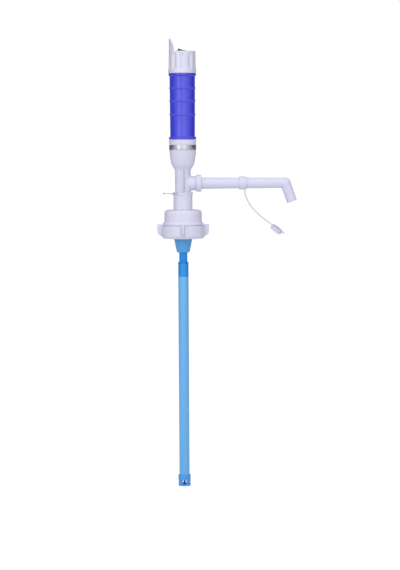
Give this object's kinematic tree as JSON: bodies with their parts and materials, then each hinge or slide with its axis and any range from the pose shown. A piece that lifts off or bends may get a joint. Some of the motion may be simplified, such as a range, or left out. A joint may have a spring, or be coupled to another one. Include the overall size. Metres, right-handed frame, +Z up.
{
  "type": "electric water jug pump",
  "caption": "Battery pump for a water jug: ribbed handle over a motor bell, a side spout with a tethered dust cap, a winged clamping collar and a long dip tube.",
  "frame": {"origin": "centre of the plane where the jug's neck rim meets the underside of the gasket", "axes": "+Z up along the pump's axis, from the dip tube to the handle; +X along the spout"},
  "size_m": [0.2374, 0.088, 0.7626],
  "materials": {
    "gasket_rubber": "soft grey-white rubber",
    "sleeve_white": "moulded white plastic with a faint lilac cast",
    "dome_white": "moulded white plastic with a faint lilac cast",
    "clip_white": "grey-white moulded plastic",
    "collet_white": "grey-white moulded plastic",
    "ring_white": "moulded white plastic with a faint lilac cast",
    "body_white": "moulded white plastic with a faint lilac cast",
    "seal_rubber": "black rubber",
    "band_steel": "bright polished metal, left bare",
    "grip_blue": "deep violet-blue soft-touch plastic",
    "barrel_white": "white moulded plastic",
    "brass": "plain brass sheet",
    "steel": "plain steel",
    "cell_jacket": "plain metal cell jacket",
    "black_plastic": "black moulded plastic",
    "inner_plastic": "grey-white moulded plastic",
    "socket_blue": "glossy bright blue plastic",
    "tube_blue": "glossy light blue plastic tube",
    "foot_blue": "glossy bright blue plastic",
    "cap_white": "moulded white plastic with a faint lilac cast",
    "rocker_maroon": "very dark maroon plastic",
    "nut_white": "moulded white plastic with a faint lilac cast",
    "spout_white": "moulded white plastic with a faint lilac cast",
    "tether_white": "moulded white plastic with a faint lilac cast",
    "strap_white": "grey-white flexible plastic",
    "nozzle_cap_white": "moulded white plastic with a faint lilac cast"
  },
  "bodies": {
    "collar": {"neck_gasket": "gasket_rubber", "adapter_sleeve": "sleeve_white", "collar_dome": "dome_white"},
    "clip": {"lock_clip": "clip_white"},
    "collet": {"clamp_collet": "collet_white"},
    "wing_ring": {"wing_ring": "ring_white"},
    "head": {"pump_body": "body_white", "head_seal": "seal_rubber", "metal_band": "band_steel", "grip_sleeve": "grip_blue", "battery_barrel": "barrel_white", "side_strip": "brass", "spring_plate": "brass", "battery_spring": "steel", "lower_cell": "cell_jacket", "upper_cell": "cell_jacket", "cap_seal": "seal_rubber", "motor_can": "steel", "motor_end_cap": "black_plastic", "motor_terminal_1": "brass", "motor_terminal_2": "brass", "motor_cradle": "inner_plastic", "motor_screw_1": "steel", "motor_screw_2": "steel", "seal_carrier": "inner_plastic", "shaft_seal": "seal_rubber", "outlet_washer": "seal_rubber", "tube_socket": "socket_blue", "socket_seal": "seal_rubber", "tube_ring": "socket_blue", "dip_tube": "tube_blue", "guide_bush_1": "inner_plastic", "guide_bush_2": "inner_plastic", "guide_bush_3": "inner_plastic", "strainer_foot": "foot_blue"},
    "rotor": {"motor_shaft": "steel", "shaft_coupling": "black_plastic", "drive_shaft": "steel", "impeller": "inner_plastic"},
    "contact": {"rim_contact": "brass", "contact_disc": "black_plastic", "centre_contact": "brass"},
    "cap": {"battery_cap": "cap_white", "switch_case": "black_plastic", "switch_terminal_1": "brass", "switch_terminal_2": "brass"},
    "rocker": {"switch_rocker": "rocker_maroon"},
    "nut": {"union_nut": "nut_white"},
    "spout": {"spout": "spout_white"},
    "tether": {"tether_ring": "tether_white", "tether_strap": "strap_white", "nozzle_cap": "nozzle_cap_white"}
  },
  "joints": [
    {"name": "head_swivel", "type": "hinge", "parent": "collar", "child": "head", "pos_m": [0, 0, 0.0355], "axis": [0, 0, 1], "continuous": true},
    {"name": "lock_clip_pull", "type": "slide", "parent": "collar", "child": "clip", "axis": [-1, 0, 0], "range_m": [0, 0.026]},
    {"name": "collet_travel", "type": "slide", "parent": "collar", "child": "collet", "axis": [0, 0, 1], "range_m": [-0.003, 0]},
    {"name": "wing_ring_turn", "type": "hinge", "parent": "collet", "child": "wing_ring", "pos_m": [0, 0, -0.0435], "axis": [0, 0, 1], "range_deg": [-360, 0]},
    {"name": "rotor_spin", "type": "hinge", "parent": "head", "child": "rotor", "pos_m": [0, 0, 0.0762], "axis": [0, 0, 1], "continuous": true},
    {"name": "contact_rise", "type": "slide", "parent": "head", "child": "contact", "axis": [0, 0, 1], "range_m": [0, 0.0045]},
    {"name": "battery_cap_turn", "type": "hinge", "parent": "contact", "child": "cap", "pos_m": [0, 0, 0.2371], "axis": [0, 0, 1], "range_deg": [0, 540]},
    {"name": "rocker_tilt", "type": "hinge", "parent": "cap", "child": "rocker", "pos_m": [-0.001, 0, 0.2732], "axis": [0, 1, 0], "range_deg": [-30, 0]},
    {"name": "union_nut_turn", "type": "hinge", "parent": "head", "child": "nut", "pos_m": [0.0223, 0, 0.0507], "axis": [1, 0, 0], "range_deg": [0, 540]},
    {"name": "spout_swivel", "type": "hinge", "parent": "head", "child": "spout", "pos_m": [0.0292, 0, 0.0507], "axis": [1, 0, 0], "continuous": true},
    {"name": "tether_turn", "type": "hinge", "parent": "spout", "child": "tether", "pos_m": [0.0955, 0, 0.0507], "axis": [1, 0, 0], "continuous": true}
  ],
  "couplings": [
    {"joint": "collet_travel", "follows": "wing_ring_turn", "m_per_rad": 0.0004774},
    {"joint": "contact_rise", "follows": "battery_cap_turn", "m_per_rad": 0.0004774}
  ]
}
